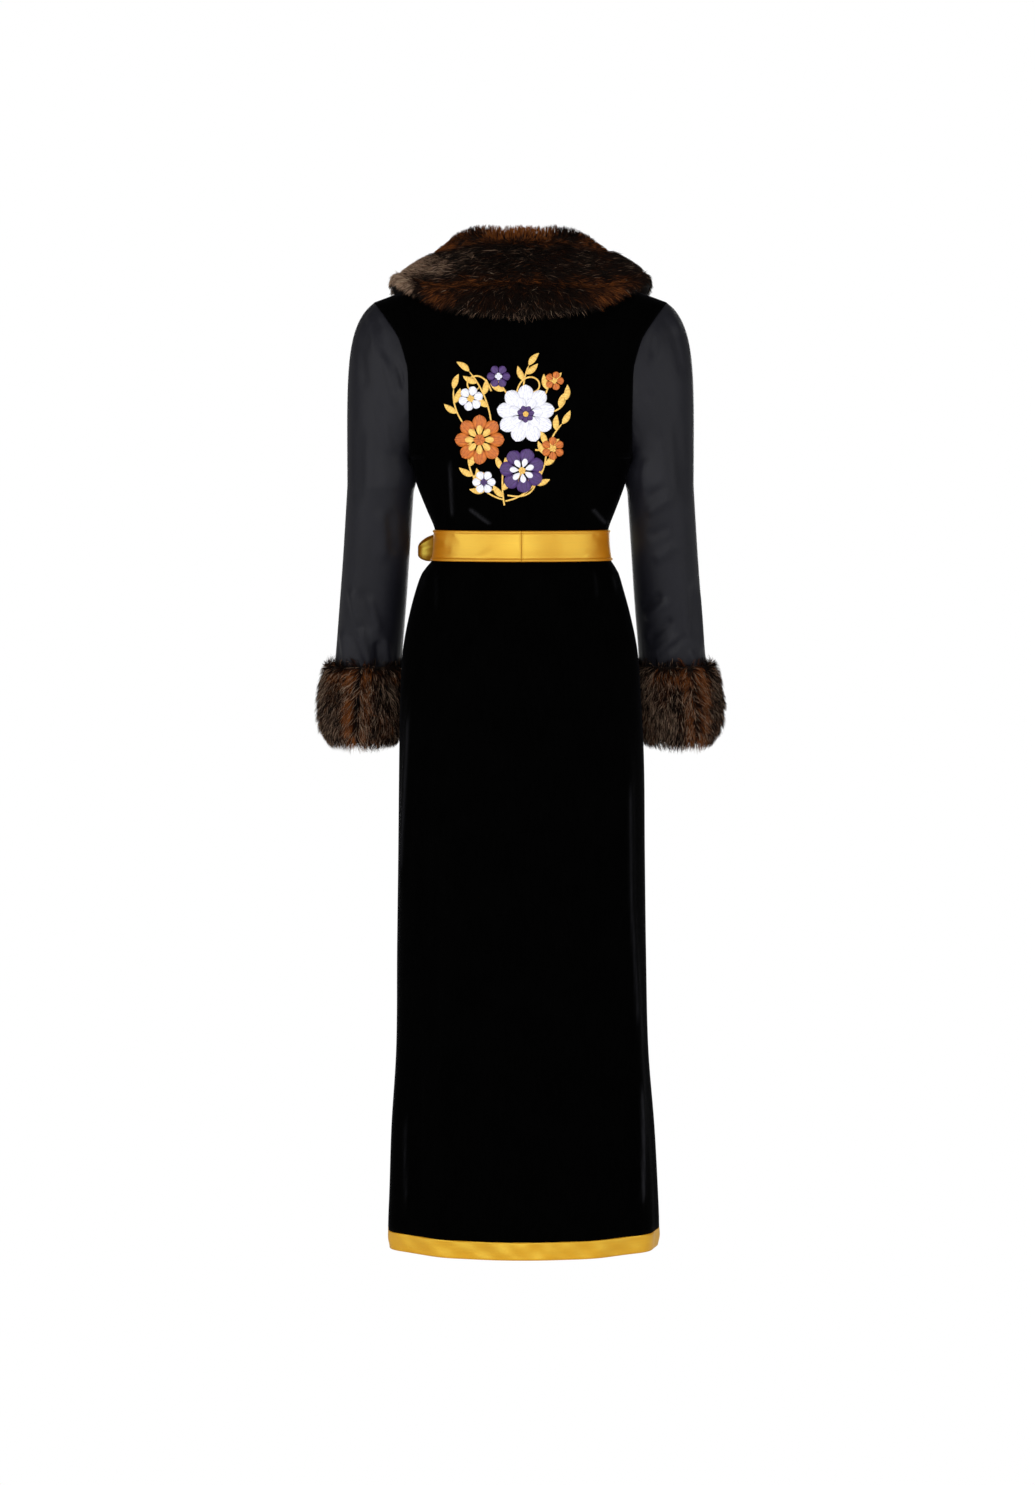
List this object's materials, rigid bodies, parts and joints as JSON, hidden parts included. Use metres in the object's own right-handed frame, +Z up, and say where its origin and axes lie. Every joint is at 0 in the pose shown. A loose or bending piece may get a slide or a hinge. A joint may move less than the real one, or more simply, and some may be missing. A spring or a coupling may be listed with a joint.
{
  "type": "long wrap robe",
  "caption": "Long velvet wrap robe in its worn form with nobody inside: satin sleeves, fur shawl collar and cuffs, gold satin hem band and sash tied in a bow at the front",
  "frame": {"origin": "midway between the neck ends of the two shoulder seams, where the robe rests on its wearer or a hanger", "axes": "+Z up, +Y the way the wearer faces, +X the wearer's right"},
  "size_m": [0.58, 0.2889, 1.4221],
  "materials": {
    "velvet": "black velvet",
    "dark_satin": "charcoal satin",
    "gold_satin": "gold satin",
    "fur": "brown long-pile faux fur"
  },
  "bodies": {
    "root": {"back_panel": "velvet", "front_right": "velvet", "front_left": "velvet", "hem_back": "gold_satin", "hem_right": "gold_satin", "hem_left": "gold_satin", "sleeve_right": "dark_satin", "sleeve_left": "dark_satin", "cuff_right_back": "fur", "cuff_right_front": "fur", "cuff_left_back": "fur", "cuff_left_front": "fur", "collar_upper": "fur", "collar_middle": "fur", "collar_lower": "fur", "sash_left": "gold_satin", "sash_right": "gold_satin", "sash_knot": "gold_satin", "bow_loop_outer": "gold_satin", "bow_loop_inner": "gold_satin", "sash_end_outer": "gold_satin", "sash_end_inner": "gold_satin"}
  },
  "joints": []
}
